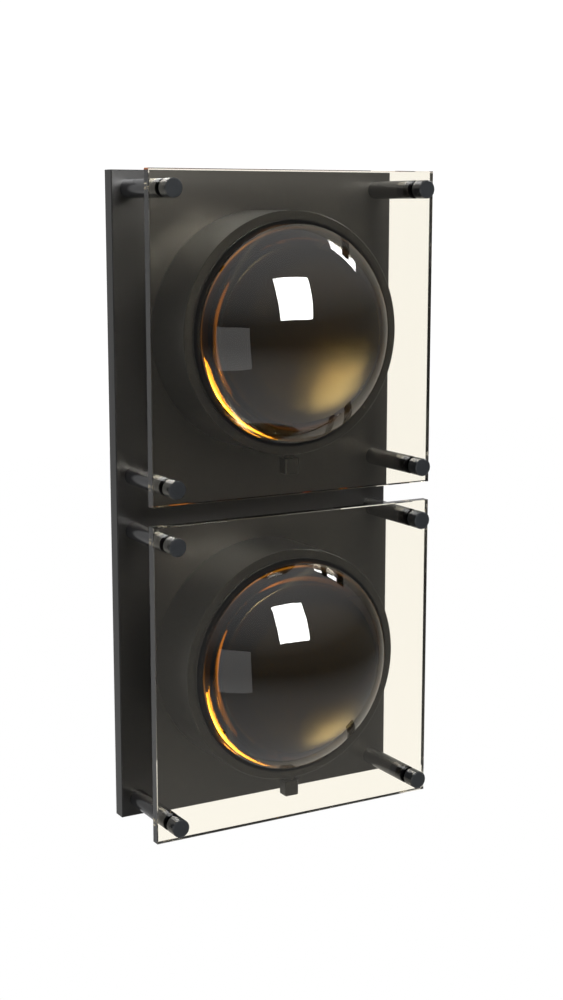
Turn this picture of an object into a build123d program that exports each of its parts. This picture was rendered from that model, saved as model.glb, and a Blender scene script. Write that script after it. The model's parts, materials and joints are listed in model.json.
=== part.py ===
from build123d import *
import math
import os

# Pedestrian traffic light with two aspects, for a wall plate or a pole bracket. Millimetres.
#
# Every piece is modelled with the light lying on its back: X to the right, Y up the light and
# Z out from the wall, with z = 0 on the face that meets the wall. stand_up() then turns the
# whole light so that Z is up and the front faces -Y. The origin is the middle of the wall face.

# ---- driving dimensions ----
lens_diameter = 200.0
dome_height = 50.0
film_inset = 30.0
film_thickness = 0.5

sheet_side = 297.0
sheet_thickness = 10.0
sheet_spacing = 18.0
sheet_edge_bevel = 0.6

plate_depth = 14.0
plate_skin = 3.0
plate_rim = 3.0
plate_edge_bevel = 0.8

drum_border = 12.5
drum_wall = 3.0
drum_floor = 3.0

standoff_diameter = 17.0
standoff_length = 68.5
standoff_inset = 17.0
cap_length = 15.0
cap_bevel = 0.8
stud_diameter = 6.0

# wall fixing
fixing_spacing_across = 200.0
fixing_spacing_up = 500.0
fixing_thread = 8.0
fixing_boss = 20.0
fixing_depth = 12.0

# rear cover
cover_thickness = 2.0
cover_clearance = 0.3
cover_screw_thread = 4.0
cover_screw_head = 8.0
cover_screw_side_inset = 12.5
cover_screw_end_inset = 16.0
cover_screw_shank = 6.5

# supply cable entry and terminals
entry_across = 60.0
entry_body = 20.0
entry_bore = 9.0
entry_flange = 26.0
entry_flange_thickness = 1.5
terminal_ways = 5
terminal_pitch = 9.0
terminal_width = 18.0
terminal_height = 8.0
terminal_well = 4.0
terminal_well_depth = 3.0
terminal_wire_hole = 2.4

# drum fixing and the lead into the drum
drum_screw_thread = 5.0
drum_screw_inset = 29.5
drum_screw_head = 9.0
drum_screw_head_height = 3.5
drum_screw_clearance = 0.5
lead_hole = 16.0
lead_bore = 8.0
lead_flange = 22.0
lead_flange_thickness = 1.5
lead_offset = 60.0

# bezel, gasket
bezel_lip = 2.0
bezel_thickness = 2.0
bezel_skirt = 2.0
bezel_skirt_depth = 6.0
bezel_clearance = 0.2
bezel_gap_width = 30.0
gasket_margin = 1.0
gasket_section = 3.0

# lamp insert: the heat sink carries the light board, and the carrier ring holds the optics
insert_gap = 9.5
insert_wall = 2.5
insert_setback = 13.5
insert_depth = 26.0
insert_lip = 2.5
insert_lip_depth = 2.0
sink_thickness = 4.0
fin_height = 5.0
fin_thickness = 1.5
fin_pitch = 11.0
fin_inset = 14.0
board_inset = 16.0
board_thickness = 1.6
led_diameter = 5.0
led_height = 1.6
led_rings = 4
led_margin = 12.0
baffle_back_inset = 11.0
baffle_front_inset = 5.0
baffle_wall = 2.5
mask_thickness = 1.5
diffuser_thickness = 2.5
disc_clearance = 0.3
pillar_diameter = 10.0
pillar_inset = 4.0
insert_screw_inset = 4.5
insert_screw_boss = 7.0
insert_screw_boss_depth = 6.0
insert_screw_depth = 5.0

# small screws
small_thread = 3.0
small_head = 5.5
small_head_height = 2.0

# driver
driver_length = 90.0
driver_width = 56.0
driver_boss = 8.0
driver_boss_height = 4.0
driver_screw_inset = 6.0
driver_screw_depth = 3.5
transformer_size = (26.0, 22.0, 7.5)
transformer_place = (-18.0, 2.0)
capacitor_diameter = 9.0
capacitor_height = 7.8
capacitor_places = ((12.0, 10.0), (12.0, -2.0), (24.0, 4.0))
connector_size = (18.0, 8.0, 7.0)
connector_place = (0.0, -21.0)
connector_ways = 4

# quarter-turn lock under the drum
knob_width = 14.5
knob_depth = 12.5
knob_height = 15.0
knob_bevel = 1.2
knob_front_setback = 0.8
knob_drop = 3.5
shaft_diameter = 7.0
shaft_clearance = 0.05
collar_diameter = 9.5
knob_play = 0.5
cam_thickness = 3.0
cam_hub_radius = 4.5
cam_lobe_radius = 11.0
cam_lobe_half_angle = 30.0
cam_wall_play = 0.9
shaft_square = 4.8
lock_screw_diameter = 2.5
lock_screw_depth = 6.0
lug_side = 5.8
lug_width = 7.0
lug_length = 10.0
lug_play = 0.5
hook_width = 18.0
hook_thickness = 4.0
hook_play = 0.3
hook_reach = 8.0

# sheet fixing
sheet_hole = 11.0
sleeve_play = 0.25
washer_thickness = 1.0
neck_diameter = 13.0
neck_thickness = 1.2
stud_seat = 10.0
cap_thread_depth = 9.0

overcut = 1.0

# ---- proportions ----
boss_ratio = 2.5
socket_ratio = 0.4
countersunk_socket_ratio = 0.35
countersunk_socket_depth = 0.7
winding_length_ratio = 0.6
winding_width_ratio = 0.3
contact_width_ratio = 0.6
contact_height_ratio = 0.5
can_fillet_ratio = 1 / 12

# ---- the figure on the mask ----
head_radius = 10.0
head_up = 52.0
trunk_length = 56.0
trunk_width = 26.0
trunk_up = 16.0
leg_length = 66.0
leg_width = 12.0
arm_length = 48.0
arm_width = 9.0
shoulder_across = 15.0
shoulder_up = 32.0
arm_spread = 8.0

# ---- sizes that follow ----
plate_width = sheet_side
plate_height = 2 * sheet_side + sheet_spacing
aspect_offset = (sheet_side + sheet_spacing) / 2
pan_depth = plate_depth - plate_skin
sheet_back = plate_depth + standoff_length
sheet_front = sheet_back + sheet_thickness
bezel_front = sheet_back - gasket_section
bezel_back = bezel_front - bezel_thickness
drum_radius = lens_diameter / 2 + drum_border
drum_diameter = 2 * drum_radius
drum_inside = drum_radius - drum_wall
drum_screw_circle = 2 * (drum_inside - drum_screw_inset)
film_diameter = lens_diameter - 2 * film_inset
bezel_opening = lens_diameter - 2 * bezel_lip
gasket_inner = lens_diameter + 2 * gasket_margin
floor_top = plate_depth + drum_floor
standoff_place = sheet_side / 2 - standoff_inset
stud_radius = stud_diameter / 2
dome_radius = ((lens_diameter / 2) ** 2 + dome_height ** 2) / (2 * dome_height)
dome_centre = sheet_front + dome_height - dome_radius
insert_radius = drum_inside - insert_gap
insert_diameter = 2 * insert_radius
insert_inside = insert_radius - insert_wall
insert_screw_circle = 2 * (insert_radius - insert_screw_inset)
pillar_circle = 2 * (insert_radius - pillar_inset)
fin_circle = 2 * (insert_radius - fin_inset)
board_diameter = 2 * (insert_radius - board_inset)
led_ring_step = (board_diameter / 2 - led_margin) / led_rings
baffle_back = 2 * (insert_radius - baffle_back_inset)
baffle_front = 2 * (insert_radius - baffle_front_inset)
insert_end = bezel_front - insert_setback
sink_front = insert_end - insert_depth
sink_back = sink_front - sink_thickness
diffuser_front = insert_end - insert_lip_depth
mask_front = diffuser_front - diffuser_thickness
mask_back = mask_front - mask_thickness
driver_base = floor_top + driver_boss_height
driver_top = driver_base + board_thickness
knob_front = bezel_front - knob_front_setback
lock_axis = knob_front - knob_depth / 2
knob_top = -drum_radius - knob_drop
cam_outer = -drum_inside + cam_wall_play
cam_inner = cam_outer + cam_thickness
lug_front = lock_axis - cam_lobe_radius + lug_play
hook_front = insert_end


# ---- helpers ----
def disc(diameter, z0, z1, x=0.0, y=0.0):
    """Upright cylinder between two heights."""
    return Pos(x, y, (z0 + z1) / 2) * Cylinder(diameter / 2, z1 - z0)


def box(x0, x1, y0, y1, z0, z1):
    """Box between two corners."""
    return Pos((x0 + x1) / 2, (y0 + y1) / 2, (z0 + z1) / 2) * Box(x1 - x0, y1 - y0, z1 - z0)


def ring(outer, inner, z0, z1):
    """Flat ring between two heights, by its two diameters."""
    return disc(outer, z0, z1) - disc(inner, z0 - overcut, z1 + overcut)


def post_down(diameter, y0, y1, z):
    """Round bar along Y between two places, at height z."""
    return Pos(0, (y0 + y1) / 2, z) * Rot(90, 0, 0) * Cylinder(diameter / 2, abs(y1 - y0))


def around(circle, count, start):
    """Places spread evenly round a circle of the given diameter."""
    angles = [math.radians(start + 360.0 * k / count) for k in range(count)]
    return [(circle / 2 * math.cos(a), circle / 2 * math.sin(a)) for a in angles]


def corners(across, up):
    """The four corners of a rectangle, by half its width and half its height."""
    return [(x, y) for x in (-across, across) for y in (-up, up)]


def group(pieces):
    """Several alike pieces as one node."""
    return Compound(children=[piece.solid() for piece in pieces])


def cap_screw(thread, head, head_height, seat, tip, outward):
    """Screw along Z with a hexagon socket: its head stands on seat, outward is +1 or -1."""
    crown = seat + outward * head_height
    low, high = sorted((seat, crown))
    shank_low, shank_high = sorted((seat, tip))
    socket = extrude(RegularPolygon(thread * socket_ratio, 6), amount=-outward * head_height / 2)
    screw = disc(head, low, high) + disc(thread, shank_low, shank_high)
    return screw - Pos(0, 0, crown) * socket


# ---- places ----
aspect_places = {"upper": aspect_offset, "lower": -aspect_offset}
standoff_places = corners(standoff_place, standoff_place)
drum_screw_places = around(drum_screw_circle, 4, 45.0)
fixing_places = corners(fixing_spacing_across / 2, fixing_spacing_up / 2)
cover_screw_places = corners(plate_width / 2 - cover_screw_side_inset, aspect_offset)
cover_screw_places += [(0, side * (plate_height / 2 - cover_screw_end_inset)) for side in (-1, 1)]
driver_screw_places = corners(driver_length / 2 - driver_screw_inset, driver_width / 2 - driver_screw_inset)
insert_screw_places = around(insert_screw_circle, 4, 45.0)
pillar_places = around(pillar_circle, 3, 90.0)


# ---- back plate and what is in it ----
def back_plate():
    """Shallow pan, open to the wall, with a boss behind every screw."""
    half_width = plate_width / 2
    half_height = plate_height / 2
    plate = box(-half_width, half_width, -half_height, half_height, 0, plate_depth)
    plate = chamfer(plate.faces().sort_by(Axis.Z)[-1].edges(), plate_edge_bevel)
    inner_x = half_width - plate_rim
    inner_y = half_height - plate_rim
    plate -= box(-inner_x, inner_x, -inner_y, inner_y, -overcut, pan_depth)
    for x, y in fixing_places:
        plate += disc(fixing_boss, 0, pan_depth, x, y)
        plate -= disc(fixing_thread, -overcut, fixing_depth, x, y)
    for x, y in cover_screw_places:
        plate += disc(cover_screw_thread * boss_ratio, cover_thickness, pan_depth, x, y)
        plate -= disc(cover_screw_thread, cover_thickness - overcut, pan_depth - cover_thickness, x, y)
    for centre in aspect_places.values():
        for x, y in standoff_places:
            plate += disc(stud_diameter * boss_ratio, cover_thickness, pan_depth, x, centre + y)
            plate -= disc(stud_diameter, plate_depth - stud_seat, plate_depth + overcut, x, centre + y)
        for x, y in drum_screw_places:
            plate += disc(drum_screw_thread * boss_ratio, cover_thickness, pan_depth, x, centre + y)
            plate -= disc(drum_screw_thread, plate_depth - stud_seat, plate_depth + overcut, x, centre + y)
        plate -= disc(lead_hole, pan_depth - overcut, plate_depth + overcut, 0, centre - lead_offset)
    return plate


def cover_screw():
    """Countersunk screw along Z, its head flush with z = 0."""
    head = Pos(0, 0, cover_thickness / 2) * Cone(cover_screw_head / 2, cover_screw_thread / 2, cover_thickness)
    return head + disc(cover_screw_thread, 0, cover_thickness + cover_screw_shank)


def rear_cover():
    """Flat sheet that closes the pan, flush with its rim."""
    inner_x = plate_width / 2 - plate_rim - cover_clearance
    inner_y = plate_height / 2 - plate_rim - cover_clearance
    cover = box(-inner_x, inner_x, -inner_y, inner_y, 0, cover_thickness)
    for x, y in fixing_places:
        cover -= disc(fixing_boss + 2 * cover_clearance, -overcut, cover_thickness + overcut, x, y)
    for x, y in cover_screw_places:
        cover -= Pos(x, y, 0) * cover_screw()
    return cover - disc(entry_body, -overcut, cover_thickness + overcut, entry_across, 0)


def rear_cover_screws():
    """Countersunk screws with hexagon sockets."""
    socket = extrude(RegularPolygon(cover_screw_thread * countersunk_socket_ratio, 6),
                     amount=cover_thickness * countersunk_socket_depth)
    return group([Pos(x, y, 0) * (cover_screw() - socket) for x, y in cover_screw_places])


def cable_grommet():
    """Rubber grommet for the supply cable, flush with the rear cover."""
    flange_top = cover_thickness + entry_flange_thickness
    grommet = disc(entry_body, 0, cover_thickness) + disc(entry_flange, cover_thickness, flange_top)
    grommet -= disc(entry_bore, -overcut, flange_top + overcut)
    return Pos(entry_across, 0, 0) * grommet


def terminal_block():
    """Screw terminals on the inside of the pan's skin."""
    length = terminal_ways * terminal_pitch
    low = pan_depth - terminal_height
    strip = box(-length / 2, length / 2, -terminal_width / 2, terminal_width / 2, low, pan_depth)
    middle = pan_depth - terminal_height / 2
    for k in range(terminal_ways):
        x = (k - (terminal_ways - 1) / 2) * terminal_pitch
        strip -= Pos(x, 0, middle) * Rot(90, 0, 0) * Cylinder(terminal_wire_hole / 2, terminal_width + overcut)
        for y in (-terminal_width / 4, terminal_width / 4):
            strip -= disc(terminal_well, low - overcut, low + terminal_well_depth, x, y)
    return strip


# ---- drum ----
def drum_housing():
    """Cup with a floor on the plate, pillars for the insert, a hook at the top and the lock's bearing."""
    drum = disc(drum_diameter, plate_depth, bezel_back)
    drum += post_down(collar_diameter, -drum_inside, knob_top + knob_play, lock_axis)
    drum -= disc(2 * drum_inside, floor_top, bezel_back + overcut)
    for x, y in pillar_places:
        drum += disc(pillar_diameter, floor_top, sink_back, x, y)
    for x, y in driver_screw_places:
        drum += disc(driver_boss, floor_top, driver_base, x, y)
        drum -= disc(small_thread, driver_base - driver_screw_depth, driver_base + overcut, x, y)
    for x, y in drum_screw_places:
        drum -= disc(drum_screw_thread + drum_screw_clearance, plate_depth - overcut, floor_top + overcut, x, y)
    drum -= disc(lead_hole, plate_depth - overcut, floor_top + overcut, 0, -lead_offset)
    hook_low = drum_inside - hook_reach
    hook_high = drum_radius - drum_wall / 2
    drum += box(-hook_width / 2, hook_width / 2, hook_low, hook_high, hook_front - hook_thickness, hook_front)
    bore = shaft_diameter + 2 * shaft_clearance
    return drum - post_down(bore, -drum_inside + drum_wall, knob_top - overcut, lock_axis)


def drum_screws():
    """Screws through the drum's floor into the plate."""
    tip = plate_depth - stud_seat + overcut
    screw = cap_screw(drum_screw_thread, drum_screw_head, drum_screw_head_height, floor_top, tip, 1)
    return group([Pos(x, y, 0) * screw for x, y in drum_screw_places])


def lead_grommets():
    """Rubber grommet through the plate's skin and each drum's floor."""
    low = pan_depth - lead_flange_thickness
    high = floor_top + lead_flange_thickness
    grommet = disc(lead_hole, pan_depth, floor_top)
    grommet += disc(lead_flange, low, pan_depth)
    grommet += disc(lead_flange, floor_top, high)
    grommet -= disc(lead_bore, low - overcut, high + overcut)
    return group([Pos(0, centre - lead_offset, 0) * grommet for centre in aspect_places.values()])


def bezel():
    """Flat front ring with a skirt that locates it in the drum, cut away round the lock."""
    face = disc(drum_diameter, bezel_back, bezel_front)
    face = chamfer(face.edges().sort_by(Axis.Z)[-1], bezel_thickness / 4)
    skirt_outer = 2 * (drum_inside - bezel_clearance)
    skirt = ring(skirt_outer, skirt_outer - 2 * bezel_skirt, bezel_back - bezel_skirt_depth, bezel_back)
    half_gap = bezel_gap_width / 2
    skirt -= box(-half_gap, half_gap, -drum_radius, 0, 0, bezel_back)
    return face + skirt - disc(bezel_opening, plate_depth, bezel_front + overcut)


def shield_gasket():
    """Rubber ring between the bezel and the clear sheet."""
    return ring(gasket_inner + 2 * gasket_section, gasket_inner, bezel_front, sheet_back)


# ---- lamp insert ----
def insert_ring():
    """Carrier ring with a front lip, screw bosses at the back, a lug for the hook and one for the lock."""
    carrier = disc(insert_diameter, sink_front, insert_end)
    top_lug_end = hook_front - hook_thickness - hook_play
    carrier += box(-hook_width / 2, hook_width / 2, insert_inside + insert_wall / 2, drum_inside - hook_play - drum_wall,
                   top_lug_end - hook_thickness, top_lug_end)
    lug_low = cam_outer + hook_play
    carrier += box(lug_side, lug_side + lug_width, lug_low, -insert_inside, lug_front - lug_length, lug_front)
    carrier -= disc(2 * insert_inside, sink_front - overcut, diffuser_front)
    carrier -= disc(2 * (insert_inside - insert_lip), diffuser_front - overcut, insert_end + overcut)
    boss_end = sink_front + insert_screw_boss_depth
    for x, y in insert_screw_places:
        carrier += disc(insert_screw_boss, sink_front, boss_end, x, y)
    for x, y in insert_screw_places:
        carrier -= disc(small_thread, sink_front - overcut, sink_front + insert_screw_depth, x, y)
    return carrier


def insert_screws():
    """Screws through the heat sink's edge into the carrier ring."""
    tip = sink_front + insert_screw_depth
    screw = cap_screw(small_thread, small_head, small_head_height, sink_back, tip, -1)
    return group([Pos(x, y, 0) * screw for x, y in insert_screw_places])


def heat_sink():
    """Round plate with straight fins on its back."""
    sink = disc(insert_diameter, sink_back, sink_front)
    rows = int(fin_circle / 2 / fin_pitch)
    fins = [box(-fin_circle / 2, fin_circle / 2, k * fin_pitch - fin_thickness / 2, k * fin_pitch + fin_thickness / 2,
                sink_back - fin_height, sink_back) for k in range(-rows, rows + 1)]
    limit = disc(fin_circle, sink_back - fin_height, sink_back)
    for fin in fins:
        sink += fin & limit
    for x, y in insert_screw_places:
        sink -= disc(small_thread, sink_back - overcut, sink_front + overcut, x, y)
    return sink


def led_places():
    """Light emitters: one in the middle and rings round it."""
    places = [(0.0, 0.0)]
    for k in range(1, led_rings + 1):
        places += around(2 * k * led_ring_step, 6 * k, 0.0)
    return places


def led_board():
    """Round metal-core board on the heat sink."""
    return disc(board_diameter, sink_front, sink_front + board_thickness)


def leds():
    """Round emitters on the board."""
    low = sink_front + board_thickness
    emitter = disc(led_diameter, low, low + led_height)
    emitter = fillet(emitter.edges().sort_by(Axis.Z)[-1], led_height / 2)
    return group([Pos(x, y, 0) * emitter for x, y in led_places()])


def baffle():
    """Cone that keeps the light together between the board and the mask."""
    outer = Pos(0, 0, (sink_front + mask_back) / 2) * Cone(baffle_back / 2, baffle_front / 2, mask_back - sink_front)
    inner_back = baffle_back / 2 - baffle_wall
    inner_front = baffle_front / 2 - baffle_wall
    inner = Pos(0, 0, (sink_front + mask_back) / 2) * Cone(inner_back, inner_front, mask_back - sink_front)
    return outer - inner


def limb(x, y, length, width, swing):
    """Rounded bar that hangs from a joint, turned by swing degrees."""
    bar = SlotOverall(length, width, rotation=90)
    return Pos(x, y) * Rot(0, 0, swing) * Pos(0, -length / 2 + width / 2) * bar


def person(swing, hip):
    """Outline of a person: swing spreads the arms and legs, hip sets the legs apart."""
    figure = Pos(0, head_up) * Circle(head_radius)
    figure += Pos(0, trunk_up) * SlotOverall(trunk_length, trunk_width, rotation=90)
    figure += limb(-hip, 0, leg_length, leg_width, -swing)
    figure += limb(hip, 0, leg_length, leg_width, swing)
    figure += limb(-shoulder_across, shoulder_up, arm_length, arm_width, -swing - arm_spread)
    figure += limb(shoulder_across, shoulder_up, arm_length, arm_width, swing + arm_spread)
    return figure


def symbol_mask(swing, hip):
    """Dark disc with the person cut out of it."""
    mask = disc(2 * (insert_inside - disc_clearance), mask_back, mask_front)
    cut = extrude(person(swing, hip), amount=mask_thickness + 2 * overcut)
    return mask - Pos(0, 0, mask_back - overcut) * cut


def diffuser():
    """Smoked disc in front of the mask."""
    return disc(2 * (insert_inside - disc_clearance), mask_front, diffuser_front)


# ---- driver ----
def driver_board():
    """Circuit board on the drum's bosses."""
    board = box(-driver_length / 2, driver_length / 2, -driver_width / 2, driver_width / 2, driver_base, driver_top)
    for x, y in driver_screw_places:
        board -= disc(small_thread, driver_base - overcut, driver_top + overcut, x, y)
    return board


def driver_screws():
    """Screws through the board's corners."""
    tip = driver_base - driver_screw_depth
    screw = cap_screw(small_thread, small_head, small_head_height, driver_top, tip, 1)
    return group([Pos(x, y, 0) * screw for x, y in driver_screw_places])


def driver_transformer():
    """Wound transformer: two core halves with the winding between them."""
    length, width, height = transformer_size
    x, y = transformer_place
    core = box(-length / 2, length / 2, -width / 2, width / 2, 0, height)
    for side in (-1, 1):
        core -= Pos(0, side * width / 2, height / 2) * Box(length * winding_length_ratio, width * winding_width_ratio,
                                                             height + overcut)
    return Pos(x, y, driver_top) * core


def driver_capacitors():
    """Round capacitors."""
    top = driver_top + capacitor_height
    can = disc(capacitor_diameter, driver_top, top)
    can = fillet(can.edges().sort_by(Axis.Z)[-1], capacitor_diameter * can_fillet_ratio)
    return group([Pos(x, y, 0) * can for x, y in capacitor_places])


def driver_connector():
    """Socket for the lead, open at the side that faces the grommet."""
    length, width, height = connector_size
    x, y = connector_place
    body = box(-length / 2, length / 2, -width / 2, width / 2, 0, height)
    way = length / connector_ways
    for k in range(connector_ways):
        across = (k - (connector_ways - 1) / 2) * way
        body -= Pos(across, -width / 2, height / 2) * Box(way * contact_width_ratio, width,
                                                                  height * contact_height_ratio)
    return Pos(x, y, driver_top) * body


# ---- quarter-turn lock ----
def lock_knob():
    """Square knob below the drum, with its shaft up through the drum's wall."""
    half = knob_width / 2
    knob = box(-half, half, knob_top - knob_height, knob_top, knob_front - knob_depth, knob_front)
    knob = chamfer(knob.edges().filter_by(Axis.Y), knob_bevel)
    knob = chamfer(knob.faces().sort_by(Axis.Y)[0].edges(), knob_bevel / 2)
    knob += post_down(shaft_diameter, knob_top, cam_outer, lock_axis)
    knob += Pos(0, (cam_outer + cam_inner) / 2, lock_axis) * Box(shaft_square, cam_thickness, shaft_square)
    return knob - post_down(lock_screw_diameter, cam_inner + overcut, cam_inner - lock_screw_depth, lock_axis)


def lock_cam():
    """Hub with one lobe, which stands in front of the insert's lug when the lock is shut."""
    hub = Circle(cam_hub_radius)
    start = -45.0 - cam_lobe_half_angle
    edge = [start + k * cam_lobe_half_angle for k in range(3)]
    tip = [(cam_lobe_radius * math.cos(math.radians(a)), cam_lobe_radius * math.sin(math.radians(a))) for a in edge]
    outline = [Line((0, 0), tip[0]), ThreePointArc(tip[0], tip[1], tip[2]), Line(tip[2], (0, 0))]
    lobe = make_face(Curve() + outline)
    profile = hub + lobe - Rectangle(shaft_square, shaft_square)
    cam = extrude(profile, amount=cam_thickness)
    return Pos(0, cam_inner, lock_axis) * Rot(90, 0, 0) * cam


def lock_screw():
    """Screw that holds the cam on the shaft."""
    head = post_down(small_head, cam_inner, cam_inner + small_head_height, lock_axis)
    screw = head + post_down(lock_screw_diameter, cam_inner, cam_inner - lock_screw_depth, lock_axis)
    socket = Pos(0, cam_inner + small_head_height, lock_axis) * Rot(90, 0, 0)
    return screw - socket * extrude(RegularPolygon(small_thread * socket_ratio, 6), amount=small_head_height / 2)


# ---- clear shield and its fixings ----
def shield():
    """Square clear sheet with a solid domed lens moulded on its front."""
    half = sheet_side / 2
    sheet = box(-half, half, -half, half, sheet_back, sheet_front)
    sheet = chamfer(sheet.edges(), sheet_edge_bevel)
    above = box(-half, half, -half, half, sheet_back, sheet_front + dome_height + overcut)
    dome = Pos(0, 0, dome_centre) * Sphere(dome_radius) & above & disc(lens_diameter, sheet_back, sheet_front + 2 * dome_height)
    clear = sheet + dome - disc(film_diameter, sheet_back - overcut, sheet_back + film_thickness)
    for x, y in standoff_places:
        clear -= disc(sheet_hole, sheet_back - overcut, sheet_front + overcut, x, y)
    return clear


def lens_film():
    """Smoked film let into the flat back of the lens."""
    return disc(film_diameter, sheet_back, sheet_back + film_thickness)


def posts():
    """Round posts between the plate and the sheet's washers."""
    post = disc(standoff_diameter, plate_depth, sheet_back - washer_thickness)
    post -= disc(stud_diameter, plate_depth - overcut, sheet_back)
    return group([Pos(x, y, 0) * post for x, y in standoff_places])


def studs():
    """Threaded rods from the plate through post and sheet into the cap."""
    stud = disc(stud_diameter, plate_depth - stud_seat, sheet_front + neck_thickness + cap_thread_depth - overcut / 2)
    return group([Pos(x, y, 0) * stud for x, y in standoff_places])


def washers():
    """A soft washer behind the sheet and a smaller one, which shows as a neck, in front of it."""
    back = ring(standoff_diameter, stud_diameter, sheet_back - washer_thickness, sheet_back)
    neck = ring(neck_diameter, stud_diameter, sheet_front, sheet_front + neck_thickness)
    return group([Pos(x, y, 0) * piece for x, y in standoff_places for piece in (back, neck)])


def sleeves():
    """Bushes that keep the stud off the sheet."""
    sleeve = ring(sheet_hole - 2 * sleeve_play, stud_diameter, sheet_back, sheet_front)
    return group([Pos(x, y, 0) * sleeve for x, y in standoff_places])


def caps():
    """Round nuts that hold the sheet."""
    low = sheet_front + neck_thickness
    high = sheet_front + cap_length
    cap = chamfer(disc(standoff_diameter, low, high).edges().sort_by(Axis.Z)[-1], cap_bevel)
    cap = chamfer(cap.edges().sort_by(Axis.Z)[0], cap_bevel / 2)
    cap -= disc(stud_diameter, low - overcut, low + cap_thread_depth)
    return group([Pos(x, y, 0) * cap for x, y in standoff_places])


# ---- the whole light ----
common_pieces = {
    "back_plate": back_plate,
    "rear_cover": rear_cover,
    "rear_cover_screws": rear_cover_screws,
    "cable_grommet": cable_grommet,
    "terminal_block": terminal_block,
    "lead_grommets": lead_grommets,
}

aspect_pieces = {
    "drum_housing": drum_housing,
    "drum_screws": drum_screws,
    "bezel": bezel,
    "shield_gasket": shield_gasket,
    "insert_ring": insert_ring,
    "insert_screws": insert_screws,
    "heat_sink": heat_sink,
    "led_board": led_board,
    "leds": leds,
    "baffle": baffle,
    "diffuser": diffuser,
    "driver_board": driver_board,
    "driver_screws": driver_screws,
    "driver_transformer": driver_transformer,
    "driver_capacitors": driver_capacitors,
    "driver_connector": driver_connector,
    "lock_knob": lock_knob,
    "lock_cam": lock_cam,
    "lock_screw": lock_screw,
    "shield": shield,
    "lens_film": lens_film,
    "posts": posts,
    "studs": studs,
    "washers": washers,
    "sleeves": sleeves,
    "caps": caps,
}

symbols = {"upper": (0.0, 6.5), "lower": (21.0, 3.0)}


def stand_up(piece):
    """Turn a piece from the lying frame to the standing one."""
    return Rot(90, 0, 0) * piece


def write(name, piece):
    """One STEP file for each node."""
    export_step(stand_up(piece), f"parts/{name}.step")


os.makedirs("parts", exist_ok=True)
for name, make in common_pieces.items():
    write(name, make())
for name, make in aspect_pieces.items():
    piece = make()
    for aspect, centre in aspect_places.items():
        write(f"{name}_{aspect}", Pos(0, centre, 0) * piece)
for aspect, centre in aspect_places.items():
    write(f"symbol_mask_{aspect}", Pos(0, centre, 0) * symbol_mask(*symbols[aspect]))
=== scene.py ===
import json
import math
import bmesh
import bpy
import numpy as np
from bpy.props import FloatProperty, FloatVectorProperty, IntProperty, PointerProperty
from mathutils import Matrix, Vector

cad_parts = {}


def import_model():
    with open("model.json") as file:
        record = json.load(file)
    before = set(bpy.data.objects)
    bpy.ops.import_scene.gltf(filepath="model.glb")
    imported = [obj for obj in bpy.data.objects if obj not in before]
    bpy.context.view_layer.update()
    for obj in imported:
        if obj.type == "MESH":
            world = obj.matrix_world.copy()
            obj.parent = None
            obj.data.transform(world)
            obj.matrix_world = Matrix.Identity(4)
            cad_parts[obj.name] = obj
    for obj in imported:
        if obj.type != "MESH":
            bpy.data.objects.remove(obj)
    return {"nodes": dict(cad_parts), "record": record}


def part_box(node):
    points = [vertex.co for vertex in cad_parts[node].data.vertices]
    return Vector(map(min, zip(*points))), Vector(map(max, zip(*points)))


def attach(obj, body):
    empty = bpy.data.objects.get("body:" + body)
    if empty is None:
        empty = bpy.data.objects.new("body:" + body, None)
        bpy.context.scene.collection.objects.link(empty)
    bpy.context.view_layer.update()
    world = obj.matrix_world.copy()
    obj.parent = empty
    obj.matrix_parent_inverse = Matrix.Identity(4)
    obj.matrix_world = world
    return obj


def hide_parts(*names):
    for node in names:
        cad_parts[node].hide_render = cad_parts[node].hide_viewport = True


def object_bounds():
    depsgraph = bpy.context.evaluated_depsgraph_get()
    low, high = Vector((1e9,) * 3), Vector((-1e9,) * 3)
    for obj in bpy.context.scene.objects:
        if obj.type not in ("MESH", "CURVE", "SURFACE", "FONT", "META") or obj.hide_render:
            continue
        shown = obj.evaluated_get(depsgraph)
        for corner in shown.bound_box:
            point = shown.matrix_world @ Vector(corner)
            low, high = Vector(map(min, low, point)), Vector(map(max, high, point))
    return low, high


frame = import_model()
cad_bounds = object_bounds()

bl_info = {
    "name": "Pedestrian Light",
    "version": (1, 0, 0),
    "blender": (4, 5, 0),
    "location": "View3D > Sidebar > Light",
    "description": "Clear shields, drums, standoffs and finishes for a two-aspect pedestrian light",
    "category": "Add Mesh",
}

# The front faces -Y and up is +Z. Sizes are metres.
ASPECTS = ("upper", "lower")
SHARP_ANGLE = math.radians(25)
MERGE_DISTANCE = 1e-6
FILM_COVER = 0.0001
FILM_SEGMENTS = 96
FILM_SHARES = (0.25, 0.5, 0.75, 1.0)
GRAIN_GLOSS = 0.03
GRAIN_HEIGHT = 0.0002
FLOOR_HALF_SIDE = 6.0
FLOOR_DROP = 0.6
SEEN_WHITE = (1.08, 1.08, 1.08)
BEHIND_GREY = (0.75, 0.75, 0.75)
# Grey of the studio by height, from straight down at 0 to straight up at 1.
STUDIO_TONES = [(0.0, 0.6), (0.25, 0.42), (0.42, 0.09), (0.56, 0.14), (0.72, 0.42), (1.0, 0.8)]
# Width, height, place and aim of each soft light.
SOFTBOXES = {
    "key_light": (1.16, 1.38, (0.208, -1.962, 1.2), (0.3, -0.1, 0.1)),
    "side_light": (0.36, 0.62, (1.6, 0.07, 1.3), (0.0, -0.1, 0.1)),
    "left_panel": (1.2, 1.5, (-1.75, -1.5, -0.35), (0.0, -0.1, 0.0)),
}


# ---- places, read from the frame ----
def middle(node):
    """The middle of a node's box."""
    low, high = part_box(node)
    return (Vector(low) + Vector(high)) / 2


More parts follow.
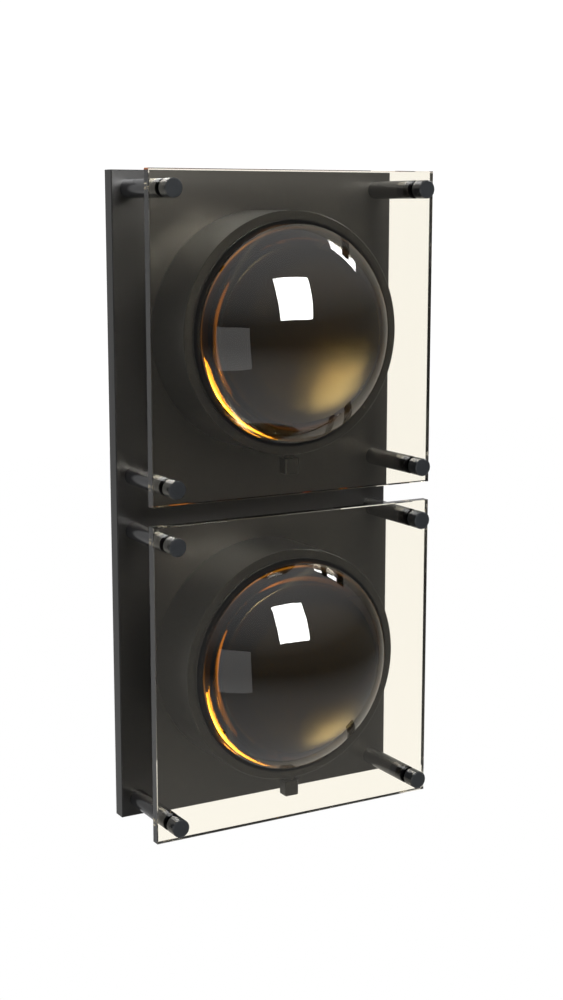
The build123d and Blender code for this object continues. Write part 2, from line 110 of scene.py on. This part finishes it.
SLOTS = {entry["node"]: entry["material_slot"] for entry in frame["record"]["subparts"]}
SHEET_LOW, SHEET_HIGH = (Vector(corner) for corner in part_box("shield_upper"))
SHEET_SIDE = SHEET_HIGH.x - SHEET_LOW.x
SHEET_BACK = SHEET_HIGH.y
CAP_LOW, CAP_HIGH = (Vector(corner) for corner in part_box("caps_upper"))
SHEET_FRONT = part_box("sleeves_upper")[0][1]
DOME_TIP = SHEET_LOW.y


# ---- sizes and colours that a user would change ----
class ShieldSettings(bpy.types.PropertyGroup):
    """The clear sheets with their domes."""

    lens_diameter: FloatProperty(
        name="Lens diameter", description="Outer diameter of the dome where it meets the sheet",
        default=0.2, unit="LENGTH")
    hole_diameter: FloatProperty(
        name="Hole diameter", description="Clearance hole round each stud", default=0.011, unit="LENGTH")
    cap_diameter: FloatProperty(
        name="Cap diameter", description="Diameter of the caps in front of the holes", default=0.017, unit="LENGTH")
    edge_bevel: FloatProperty(
        name="Edge bevel", description="Bevel along the sheet's polished edges", default=0.0006, unit="LENGTH")
    side_steps: IntProperty(
        name="Side steps", description="Grid steps along each side of the middle patch", default=48, min=8)
    cap_steps: IntProperty(
        name="Dome steps", description="Grid steps from the dome's rim to its tip", default=48, min=8)
    hole_steps: IntProperty(
        name="Hole steps", description="Grid steps for each quarter of a hole", default=8, min=4)
    tint: FloatVectorProperty(
        name="Tint", description="Colour that light keeps as it goes through the acrylic",
        default=(0.957, 0.714, 0.01), subtype="COLOR")
    tint_density: FloatProperty(
        name="Tint density", description="How fast the acrylic absorbs the other colours, per metre",
        default=17.0, min=0.0)
    refraction: FloatProperty(
        name="Refractive index", description="Refractive index of the clear sheet and lens", default=1.7)


class BodySettings(bpy.types.PropertyGroup):
    """Colours of the black pieces."""

    sharp_angle: FloatProperty(
        name="Sharp angle", description="Edges above this angle stay sharp", default=SHARP_ANGLE,
        subtype="ANGLE")
    plate_colour: FloatVectorProperty(
        name="Plate colour", description="Powder coat of the back plate", default=(0.011, 0.0105, 0.010),
        subtype="COLOR")
    drum_colour: FloatVectorProperty(
        name="Drum colour", description="Moulded colour of the drums", default=(0.007, 0.007, 0.007),
        subtype="COLOR")
    cap_colour: FloatVectorProperty(
        name="Cap colour", description="Coating of the caps", default=(0.010, 0.011, 0.012), subtype="COLOR")
    post_colour: FloatVectorProperty(
        name="Post colour", description="Coating of the posts", default=(0.018, 0.018, 0.019), subtype="COLOR")


class StageSettings(bpy.types.PropertyGroup):
    """Camera and studio."""

    azimuth: FloatProperty(
        name="Azimuth", description="Angle of the view round the light, from straight on towards its left",
        default=math.radians(29.84), subtype="ANGLE")
    elevation: FloatProperty(
        name="Elevation", description="Angle of the view above level", default=math.radians(10.06),
        subtype="ANGLE")
    distance: FloatProperty(
        name="Distance", description="From the aim to the camera", default=1.5743, unit="LENGTH")
    aim: FloatVectorProperty(
        name="Aim", description="Point that the camera looks at", default=(0.0073, -0.05, -0.0036),
        subtype="TRANSLATION")
    lens: FloatProperty(name="Lens", description="Focal length in millimetres", default=59.16)
    key_power: FloatProperty(name="Key power", description="Power of the large softbox", default=120.0)
    panel_power: FloatProperty(name="Panel power", description="Power of the dim panel at the left", default=4.0)
    side_power: FloatProperty(name="Side power", description="Power of the softbox at the right", default=9.0)


# ---- shader maths ----
class Value:
    """A shader socket that works in sums: each operation adds a Math node."""

    def __init__(self, tree, socket):
        self.tree = tree
        self.socket = socket

    def math(self, operation, left, right):
        """Adds one Math node for two values, either of which may be a number."""
        return add_node(self.tree, "ShaderNodeMath", {"operation": operation}, {0: left, 1: right})

    def __add__(self, other):
        return self.math("ADD", self, other)

    def __radd__(self, other):
        return self.math("ADD", other, self)

    def __sub__(self, other):
        return self.math("SUBTRACT", self, other)

    def __rsub__(self, other):
        return self.math("SUBTRACT", other, self)

    def __mul__(self, other):
        return self.math("MULTIPLY", self, other)

    def __rmul__(self, other):
        return self.math("MULTIPLY", other, self)

    def __lt__(self, other):
        return self.math("LESS_THAN", self, other)


def add_node(tree, kind, settings, sockets, output=0):
    """Adds a node: its settings first, then a value or link for each socket. Returns one output."""
    node = tree.nodes.new(kind)
    for name, setting in settings.items():
        if name == "stops":
            fill_ramp(node.color_ramp, setting)
        else:
            setattr(node, name, setting)
    for name, item in sockets.items():
        if isinstance(item, Value):
            tree.links.new(item.socket, node.inputs[name])
        else:
            node.inputs[name].default_value = item
    return Value(tree, node.outputs[output])


def fill_ramp(ramp, stops):
    """Sets a colour ramp's stops from (place, grey) pairs."""
    while len(ramp.elements) < len(stops):
        ramp.elements.new(0.5)
    for element, (place, grey) in zip(ramp.elements, stops):
        element.position = place
        element.color = (grey, grey, grey, 1.0)


def new_material(name):
    """An empty node material with its output."""
    material = bpy.data.materials.new(name)
    material.use_nodes = True
    tree = material.node_tree
    tree.nodes.clear()
    output = tree.nodes.new("ShaderNodeOutputMaterial")
    return material, tree, output


def object_noise(tree, scale):
    """Noise on Object coordinates, from 0 to 1, features about 1 / scale metres wide."""
    place = add_node(tree, "ShaderNodeTexCoord", {}, {}, "Object")
    return add_node(tree, "ShaderNodeTexNoise", {}, {"Vector": place, "Scale": scale, "Detail": 2.0}, "Fac")


def stretched_noise(tree, stretch, scale):
    """Noise on Object coordinates that are scaled by stretch, for a brushed or drawn surface."""
    place = add_node(tree, "ShaderNodeTexCoord", {}, {}, "Object")
    place = add_node(tree, "ShaderNodeMapping", {}, {"Vector": place, "Scale": stretch})
    return add_node(tree, "ShaderNodeTexNoise", {}, {"Vector": place, "Scale": scale, "Detail": 3.0}, "Fac")


def mixed_colour(tree, factor, dark, light):
    """Colour between dark and light."""
    ends = [end if isinstance(end, Value) else (*end, 1.0) for end in (dark, light)]
    return add_node(tree, "ShaderNodeMix", {"data_type": "RGBA"}, {"Factor": factor, 6: ends[0], 7: ends[1]}, 2)


def bumped(tree, height, strength, distance):
    """Normal from a height."""
    return add_node(tree, "ShaderNodeBump", {}, {"Height": height, "Strength": strength, "Distance": distance})


def coated(name, colour, roughness, spread=0.25, grain=900.0, bump=0.08, rough_spread=0.06, wear=6.0, **fixed):
    """Even coating or moulding: faint tone and gloss variation in wide patches and a fine grain in the bump."""
    material, tree, output = new_material(name)
    patches = object_noise(tree, wear)
    fine = object_noise(tree, grain)
    dark = [channel * (1 - spread) for channel in colour]
    light = [channel * (1 + spread) for channel in colour]
    sockets = {
        "Base Color": mixed_colour(tree, patches, dark, light),
        "Roughness": (patches - 0.5) * rough_spread + fine * GRAIN_GLOSS + (roughness - GRAIN_GLOSS / 2),
        "Normal": bumped(tree, fine, bump, GRAIN_HEIGHT),
    }
    shader = add_node(tree, "ShaderNodeBsdfPrincipled", {}, {**sockets, **fixed})
    tree.links.new(shader.socket, output.inputs["Surface"])
    return material


def brushed(name, colour, roughness, stretch=(1.0, 1.0, 40.0), **fixed):
    """Metal with fine drawn lines."""
    material, tree, output = new_material(name)
    lines = stretched_noise(tree, stretch, 60.0)
    dark = [channel * 0.85 for channel in colour]
    sockets = {
        "Base Color": mixed_colour(tree, lines, dark, colour),
        "Roughness": (lines - 0.5) * 0.15 + roughness,
        "Metallic": 1.0,
        "Normal": bumped(tree, lines, 0.1, 0.0001),
    }
    shader = add_node(tree, "ShaderNodeBsdfPrincipled", {}, {**sockets, **fixed})
    tree.links.new(shader.socket, output.inputs["Surface"])
    return material


def circuit_board(name, mask, track):
    """Solder mask over tracks: a fine brick pattern shows as slightly lighter lines."""
    material, tree, output = new_material(name)
    place = add_node(tree, "ShaderNodeTexCoord", {}, {}, "Object")
    turned = add_node(tree, "ShaderNodeMapping", {}, {"Vector": place, "Rotation": (math.pi / 2, 0.0, 0.0)})
    tracks = add_node(tree, "ShaderNodeTexBrick", {"offset": 0.37, "offset_frequency": 3},
                      {"Vector": turned, "Color1": (*mask, 1.0), "Color2": (*mask, 1.0), "Mortar": (*track, 1.0),
                       "Scale": 40.0, "Mortar Size": 0.03, "Brick Width": 0.6, "Row Height": 0.17})
    sockets = {"Base Color": tracks, "Roughness": object_noise(tree, 300.0) * 0.1 + 0.3}
    shader = add_node(tree, "ShaderNodeBsdfPrincipled", {}, sockets)
    tree.links.new(shader.socket, output.inputs["Surface"])
    return material


def tinted_acrylic(name, settings):
    """Clear sheet with a tint that deepens along the light's path, and faint polishing marks."""
    material, tree, output = new_material(name)
    marks = object_noise(tree, 25.0)
    shader = add_node(tree, "ShaderNodeBsdfPrincipled", {}, {
        "Base Color": (1.0, 1.0, 1.0, 1.0), "Roughness": marks * 0.01, "IOR": settings.refraction,
        "Transmission Weight": 1.0})
    tint = add_node(tree, "ShaderNodeVolumeAbsorption", {},
                    {"Color": (*settings.tint, 1.0), "Density": settings.tint_density})
    tree.links.new(shader.socket, output.inputs["Surface"])
    tree.links.new(tint.socket, output.inputs["Volume"])
    return material


def finishes(body, shield):
    """One material for each slot of the record."""
    return {
        "black_plate": coated("black_plate", body.plate_colour, 0.3, wear=9.0, bump=0.05),
        "black_drum": coated("black_drum", body.drum_colour, 0.33, bump=0.05),
        "black_bezel": coated("black_bezel", body.drum_colour, 0.3, bump=0.05),
        "black_post": coated("black_post", body.post_colour, 0.18, wear=30.0, bump=0.02),
        "black_cap": coated("black_cap", body.cap_colour, 0.15, wear=60.0, bump=0.01),
        "black_knob": coated("black_knob", body.drum_colour, 0.3, wear=80.0),
        "black_plastic": coated("black_plastic", (0.015, 0.015, 0.015), 0.4),
        "clear_acrylic": tinted_acrylic("clear_acrylic", shield),
        "smoked_plastic": coated("smoked_plastic", (0.02, 0.02, 0.021), 0.2, bump=0.02),
        "smoked_film": coated("smoked_film", (0.002, 0.002, 0.002), 0.25, bump=0.0, **{"Specular IOR Level": 0.4}),
        "white_plastic": coated("white_plastic", (0.8, 0.8, 0.78), 0.5, spread=0.03),
        "sleeve_plastic": coated("sleeve_plastic", (0.6, 0.56, 0.47), 0.4, spread=0.05),
        "terminal_plastic": coated("terminal_plastic", (0.7, 0.7, 0.68), 0.45, spread=0.04),
        "board_green": circuit_board("board_green", (0.01, 0.09, 0.035), (0.03, 0.16, 0.07)),
        "board_white": circuit_board("board_white", (0.75, 0.75, 0.74), (0.62, 0.62, 0.6)),
        "led": coated("led", (0.85, 0.72, 0.25), 0.25, spread=0.1, wear=300.0),
        "transformer": coated("transformer", (0.05, 0.042, 0.035), 0.5, wear=120.0),
        "capacitor": brushed("capacitor", (0.45, 0.45, 0.47), 0.35, (1.0, 30.0, 1.0)),
        "aluminium": brushed("aluminium", (0.72, 0.72, 0.73), 0.38, (1.0, 1.0, 30.0)),
        "steel": brushed("steel", (0.55, 0.54, 0.52), 0.3, (30.0, 1.0, 30.0)),
        "rubber": coated("rubber", (0.016, 0.016, 0.016), 0.55, grain=1500.0, bump=0.15),
    }


# ---- surfaces ----
def skin(rings, closed_start=None, closed_end=None):
    """Faces between rings of equal length, one after the other; a tip closes either end with a fan.

    Point (i, j) is point j of ring i, and face (i, j) joins (i, j), (i, j + 1), (i + 1, j + 1), (i + 1, j).
    """
    rings = np.asarray(rings, dtype=float)
    count, around = rings.shape[:2]
    points = rings.reshape(-1, 3)
    i, j = np.meshgrid(np.arange(count - 1), np.arange(around), indexing="ij")
    step = (j + 1) % around
    quads = np.stack([i * around + j, i * around + step, (i + 1) * around + step, (i + 1) * around + j], axis=-1)
    faces = quads.reshape(-1, 4).tolist()
    ring = np.arange(around)
    for tip, start in ((closed_start, 0), (closed_end, (count - 1) * around)):
        if tip is not None:
            points = np.vstack([points, np.asarray(tip, dtype=float)[None]])
            fan = np.stack([start + ring, start + (ring + 1) % around, np.full(around, len(points) - 1)], axis=-1)
            faces += fan.tolist()
    return points, faces


def flat_grid(across, up, depth):
    """Flat grid at one depth: point (i, j) is (across i, depth, up j)."""
    x, z = np.meshgrid(across, up, indexing="ij")
    points = np.stack([x, np.full_like(x, depth), z], axis=-1).reshape(-1, 3)
    i, j = np.meshgrid(np.arange(len(across) - 1), np.arange(len(up) - 1), indexing="ij")
    corner = i * len(up) + j
    quads = np.stack([corner, corner + 1, corner + len(up) + 1, corner + len(up)], axis=-1)
    return points, quads.reshape(-1, 4).tolist()


def rectangle_loop(across, up, depth):
    """Points round a rectangle from the grid lines of its sides, anticlockwise seen from the front."""
    low_x, high_x, low_z, high_z = across[0], across[-1], up[0], up[-1]
    bottom = np.stack([across[:-1], np.full(len(across) - 1, low_z)], axis=-1)
    right = np.stack([np.full(len(up) - 1, high_x), up[:-1]], axis=-1)
    top = np.stack([across[:0:-1], np.full(len(across) - 1, high_z)], axis=-1)
    left = np.stack([np.full(len(up) - 1, low_x), up[:0:-1]], axis=-1)
    flat = np.vstack([bottom, right, top, left])
    return np.stack([flat[:, 0], np.full(len(flat), depth), flat[:, 1]], axis=-1)


def circle_under(loop, centre, radius, depth):
    """Circle whose points lie in the direction of a loop's points from a centre."""
    angle = np.arctan2(loop[:, 2] - centre[1], loop[:, 0] - centre[0])
    return np.stack([centre[0] + radius * np.cos(angle), np.full(len(loop), depth), centre[1] + radius * np.sin(angle)],
                    axis=-1)


def between(first, last, count):
    """Loops that go evenly from one loop to another: first + share * (last - first)."""
    share = np.linspace(0.0, 1.0, count)[:, None, None]
    return first[None] + share * (last - first)[None]


def join_faces(mesh, place):
    """Puts a mesh in its place, joins vertices that coincide and turns every face outwards."""
    build = bmesh.new()
    build.from_mesh(mesh)
    build.transform(place)
    bmesh.ops.remove_doubles(build, verts=build.verts, dist=MERGE_DISTANCE)
    bmesh.ops.recalc_face_normals(build, faces=build.faces)
    build.to_mesh(mesh)
    build.free()


def make_piece(name, patches, replaced):
    """One closed mesh from patches that meet at their borders."""
    points = np.vstack([patch[0] for patch in patches])
    starts = np.cumsum([0] + [len(patch[0]) for patch in patches[:-1]])
    faces = [[vertex + start for vertex in face] for start, patch in zip(starts.tolist(), patches) for face in patch[1]]
    mesh = bpy.data.meshes.new(name)
    mesh.from_pydata(points.tolist(), [], faces)
    join_faces(mesh, Matrix.Identity(4))
    return place_piece(mesh, replaced, "frame", SHARP_ANGLE)


def place_piece(mesh, replaced, body, angle):
    """An object for a mesh, shaded smooth up to an angle, in place of CAD nodes.

    It takes the material and slot of the first node that it replaces.
    """
    if mesh.attributes.get("custom_normal"):
        mesh.attributes.remove(mesh.attributes["custom_normal"])
    mesh.shade_smooth()
    mesh.set_sharp_from_angle(angle=angle)
    mesh.materials.clear()
    mesh.materials.append(frame["nodes"][replaced[0]].data.materials[0])
    piece = bpy.data.objects.new(mesh.name, mesh)
    bpy.context.scene.collection.objects.link(piece)
    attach(piece, body)
    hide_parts(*replaced)
    return piece


# ---- clear shield ----
def dome_rings(radius, rim, centre_depth, loop, steps):
    """Spherical cap as rings from its rim to near its tip.

    The cap's half angle has sine rim / radius. Ring k is at a share 1 - k / steps of that angle, in the
    directions of the loop's points, so that its first ring meets a flat patch point by point.
    """
    half = math.asin(rim / radius)
    share = np.linspace(1.0, 1.0 / steps, steps)[:, None]
    direction = np.arctan2(loop[:, 2], loop[:, 0])[None]
    x = radius * np.sin(half * share) * np.cos(direction)
    z = radius * np.sin(half * share) * np.sin(direction)
    y = np.broadcast_to(centre_depth - radius * np.cos(half * share), x.shape)
    return np.stack([x, y, z], axis=-1)


def shield_patches(settings):
    """Patches of one shield about its own middle, front and back.

    Each face of the sheet is a middle square round the lens, four strips, and four corner squares round the
    holes; they share their grid lines. The lens's cap in front, the disc behind it, the hole walls and the
    bevelled rim close the body.
    """
    half = SHEET_SIDE / 2
    face_half = half - settings.edge_bevel
    hole = (CAP_HIGH.x - CAP_LOW.x) / 2 - settings.cap_diameter / 2
    inner = 2 * hole - half
    lens = settings.lens_diameter / 2
    height = SHEET_FRONT - DOME_TIP
    radius = (lens ** 2 + height ** 2) / (2 * height)
    centre_depth = DOME_TIP + radius
    wide = np.linspace(-inner, inner, settings.side_steps + 1)
    narrow = np.linspace(inner, face_half, 2 * settings.hole_steps + 1)
    patches = []
    for depth in (SHEET_FRONT, SHEET_BACK):
        square = rectangle_loop(wide, wide, depth)
        rim_circle = circle_under(square, (0.0, 0.0), lens, depth)
        patches.append(skin(between(rim_circle, square, 3)))
        if depth == SHEET_FRONT:
            cap = dome_rings(radius, lens, centre_depth, square, settings.cap_steps)
            patches.append(skin(cap, closed_end=(0.0, DOME_TIP, 0.0)))
        else:
            centre = np.array([[[0.0, depth, 0.0]]])
            share = np.linspace(1.0, 1 / settings.cap_steps, settings.cap_steps)[:, None, None]
            patches.append(skin(centre + share * (rim_circle[None] - centre), closed_end=centre[0, 0]))
        for sign in (-1, 1):
            band = np.sort(sign * narrow)
            patches.append(flat_grid(wide, band, depth))
            patches.append(flat_grid(band, wide, depth))
    for sign_x in (-1, 1):
        for sign_z in (-1, 1):
            patches += hole_patches(np.sort(sign_x * narrow), np.sort(sign_z * narrow),
                                    (sign_x * hole, sign_z * hole), settings.hole_diameter / 2)
    lines = np.concatenate([np.sort(-narrow), wide[1:-1], narrow])
    front_edge = rectangle_loop(lines, lines, SHEET_FRONT)
    patches.append(skin(rim_rings(front_edge, settings.edge_bevel, half / face_half)))
    return patches


def hole_patches(across, up, centre, radius):
    """Flat patches round one hole, front and back, and its wall."""
    loops = [rectangle_loop(across, up, depth) for depth in (SHEET_FRONT, SHEET_BACK)]
    circles = [circle_under(loop, centre, radius, loop[0, 1]) for loop in loops]
    faces = [skin(between(circle, loop, 3)) for circle, loop in zip(circles, loops)]
    return faces + [skin(circles)]


def rim_rings(front_edge, bevel, growth):
    """The sheet's edge: out over the front bevel, back along the side and in over the rear bevel."""
    outer = front_edge * np.array([growth, 1.0, growth])
    front_side = outer + np.array([0.0, bevel, 0.0])
    back_side = outer + np.array([0.0, SHEET_BACK - SHEET_FRONT - bevel, 0.0])
    back_edge = front_edge + np.array([0.0, SHEET_BACK - SHEET_FRONT, 0.0])
    return np.stack([front_edge, front_side, back_side, back_edge])


def moved(patches, offset):
    """The same patches at another place."""
    return [(points + np.asarray(offset), faces) for points, faces in patches]


# ---- film in the lens ----
def film_patches(node):
    """Disc in the lens's back, closed round its edge: concentric rings in front and behind.

    Its back stays just inside the lens's back face, so that the two surfaces don't share a plane.
    """
    low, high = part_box(node)
    radius = (high[0] - low[0]) / 2
    angle = np.linspace(0.0, 2 * math.pi, FILM_SEGMENTS, endpoint=False)
    centre = middle(node)
    profile = [(share * radius, low[1]) for share in FILM_SHARES]
    profile += [(share * radius, high[1] - FILM_COVER) for share in reversed(FILM_SHARES)]
    rings = [np.stack([centre.x + distance * np.cos(angle), np.full_like(angle, depth),
                       centre.z + distance * np.sin(angle)], axis=-1) for distance, depth in profile]
    return [skin(rings, closed_start=(centre.x, low[1], centre.z),
                 closed_end=(centre.x, high[1] - FILM_COVER, centre.z))]


# ---- smooth copies ----
SMOOTHED = ["back_plate"] + [f"{piece}_{aspect}" for aspect in ASPECTS for piece in (
    "drum_housing", "bezel", "shield_gasket", "insert_ring", "diffuser", "posts", "studs", "washers", "sleeves",
    "caps", "lock_knob")]
BODY_OF = {node: body for body, nodes in frame["record"]["behaviour"]["bodies"].items() for node in nodes}


def smooth_copy(node, angle):
    """The node's own surface with its vertices joined, shaded smooth up to an angle."""
    source = frame["nodes"][node]
    mesh = source.data.copy()
    mesh.name = f"smooth_{node}"
    join_faces(mesh, source.matrix_world)
    return place_piece(mesh, [node], BODY_OF[node], angle)


# ---- operators ----
class LIGHT_OT_shields(bpy.types.Operator):
    """Make the clear tinted sheets with their lenses, and the film in each lens"""

    bl_idname = "light.shields"
    bl_label = "Clear shields"

    def execute(self, context):
        settings = context.scene.light_shield
        patches = shield_patches(settings)
        for aspect in ASPECTS:
            centre = middle(f"shield_{aspect}")
            make_piece(f"clear_shield_{aspect}", moved(patches, (centre.x, 0.0, centre.z)), [f"shield_{aspect}"])
            make_piece(f"film_{aspect}", film_patches(f"lens_film_{aspect}"), [f"lens_film_{aspect}"])
        return {"FINISHED"}


class LIGHT_OT_smoothed(bpy.types.Operator):
    """Make smooth-shaded copies of the pieces that show"""

    bl_idname = "light.smoothed"
    bl_label = "Smooth pieces"

    def execute(self, context):
        for node in SMOOTHED:
            smooth_copy(node, context.scene.light_body.sharp_angle)
        return {"FINISHED"}


class LIGHT_OT_finishes(bpy.types.Operator):
    """Give every carried-over node its material"""

    bl_idname = "light.finishes"
    bl_label = "Finishes"

    def execute(self, context):
        materials = finishes(context.scene.light_body, context.scene.light_shield)
        for name, slot in SLOTS.items():
            mesh = frame["nodes"][name].data
            mesh.materials.clear()
            mesh.materials.append(materials[slot])
        return {"FINISHED"}


class LIGHT_OT_stage(bpy.types.Operator):
    """Set up the floor, studio lights and camera"""

    bl_idname = "light.stage"
    bl_label = "Stage"

    def execute(self, context):
        settings = context.scene.light_stage
        floor()
        world()
        powers = (settings.key_power, settings.side_power, settings.panel_power)
        for (name, shape), power in zip(SOFTBOXES.items(), powers):
            softbox(name, power, *shape)
        camera(settings)
        context.scene.view_settings.view_transform = "Standard"
        return {"FINISHED"}


def world():
    """White to the eye, directly or through clear pieces, and a grey studio to everything else.

    The studio is dark level with the light in front, paler above and below, and pale behind.
    """
    scene_world = bpy.data.worlds.new("studio")
    bpy.context.scene.world = scene_world
    scene_world.use_nodes = True
    tree = scene_world.node_tree
    tree.nodes.clear()
    direction = add_node(tree, "ShaderNodeTexCoord", {}, {}, "Generated")
    depth, height = (add_node(tree, "ShaderNodeSeparateXYZ", {}, {"Vector": direction}, axis) for axis in "YZ")
    studio = add_node(tree, "ShaderNodeValToRGB", {"stops": STUDIO_TONES}, {"Fac": height * 0.5 + 0.5})
    behind = add_node(tree, "ShaderNodeMapRange", {"interpolation_type": "SMOOTHSTEP"},
                      {"Value": depth, "From Min": 0.25, "From Max": 0.7, "To Min": 0.0, "To Max": 0.6})
    studio = mixed_colour(tree, behind, studio, BEHIND_GREY)
    diffuse_depth = add_node(tree, "ShaderNodeLightPath", {}, {}, "Diffuse Depth")
    glossy_depth = add_node(tree, "ShaderNodeLightPath", {}, {}, "Glossy Depth")
    seen = (diffuse_depth < 0.5) * (glossy_depth < 0.5)
    colour = mixed_colour(tree, seen, studio, SEEN_WHITE)
    background = add_node(tree, "ShaderNodeBackground", {}, {"Color": colour, "Strength": 1.0})
    output = tree.nodes.new("ShaderNodeOutputWorld")
    tree.links.new(background.socket, output.inputs["Surface"])


def floor():
    """Plain pale floor well below the light."""
    ends = np.array([-FLOOR_HALF_SIDE, FLOOR_HALF_SIDE])
    points, faces = flat_grid(ends, ends, 0.0)
    points = points[:, [0, 2, 1]] + np.array([0.0, 0.0, cad_bounds[0][2] - FLOOR_DROP])
    mesh = bpy.data.meshes.new("floor")
    mesh.from_pydata(points.tolist(), [], faces)
    material, tree, output = new_material("floor_white")
    glow = add_node(tree, "ShaderNodeEmission", {}, {"Color": (1.0, 1.0, 1.0, 1.0), "Strength": 1.0})
    tree.links.new(glow.socket, output.inputs["Surface"])
    mesh.materials.append(material)
    plane = bpy.data.objects.new("floor", mesh)
    bpy.context.scene.collection.objects.link(plane)
    plane.visible_diffuse = False
    plane.visible_glossy = False
    plane.visible_transmission = False
    plane.visible_shadow = False


def softbox(name, power, width, height, place, aim):
    """Rectangular soft light that faces a point."""
    lamp = bpy.data.lights.new(name, "AREA")
    lamp.shape = "RECTANGLE"
    lamp.size = width
    lamp.size_y = height
    lamp.energy = power
    light = bpy.data.objects.new(name, lamp)
    light.location = place
    light.rotation_euler = (Vector(aim) - Vector(place)).to_track_quat("-Z", "Y").to_euler()
    light.visible_camera = False
    bpy.context.scene.collection.objects.link(light)


def camera(settings):
    """Camera on a sphere round its aim."""
    lens = bpy.data.cameras.new("camera")
    lens.lens = settings.lens
    lens.clip_start = 0.01
    eye = bpy.data.objects.new("camera", lens)
    level = settings.distance * math.cos(settings.elevation)
    aim = Vector(settings.aim)
    eye.location = aim + Vector((-level * math.sin(settings.azimuth), -level * math.cos(settings.azimuth),
                                 settings.distance * math.sin(settings.elevation)))
    eye.rotation_euler = (aim - eye.location).to_track_quat("-Z", "Y").to_euler()
    bpy.context.scene.collection.objects.link(eye)
    bpy.context.scene.camera = eye


class LIGHT_PT_panel(bpy.types.Panel):
    """Lists the pieces and the stage"""

    bl_idname = "LIGHT_PT_panel"
    bl_label = "Pedestrian Light"
    bl_space_type = "VIEW_3D"
    bl_region_type = "UI"
    bl_category = "Light"

    def draw(self, context):
        scene = context.scene
        for group in (scene.light_shield, scene.light_body, scene.light_stage):
            for name in type(group).__annotations__:
                self.layout.prop(group, name)
        for operator in STEPS:
            self.layout.operator(operator.bl_idname)


STEPS = (LIGHT_OT_finishes, LIGHT_OT_smoothed, LIGHT_OT_shields, LIGHT_OT_stage)
GROUPS = {"light_shield": ShieldSettings, "light_body": BodySettings, "light_stage": StageSettings}


def register():
    for name, group in GROUPS.items():
        bpy.utils.register_class(group)
        setattr(bpy.types.Scene, name, PointerProperty(type=group))
    for operator in STEPS:
        bpy.utils.register_class(operator)
    bpy.utils.register_class(LIGHT_PT_panel)


def unregister():
    bpy.utils.unregister_class(LIGHT_PT_panel)
    for operator in reversed(STEPS):
        bpy.utils.unregister_class(operator)
    for name, group in GROUPS.items():
        delattr(bpy.types.Scene, name)
        bpy.utils.unregister_class(group)


def main():
    """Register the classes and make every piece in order."""
    register()
    bpy.ops.light.finishes()
    bpy.ops.light.smoothed()
    bpy.ops.light.shields()
    bpy.ops.light.stage()


if __name__ == "__main__":
    main()
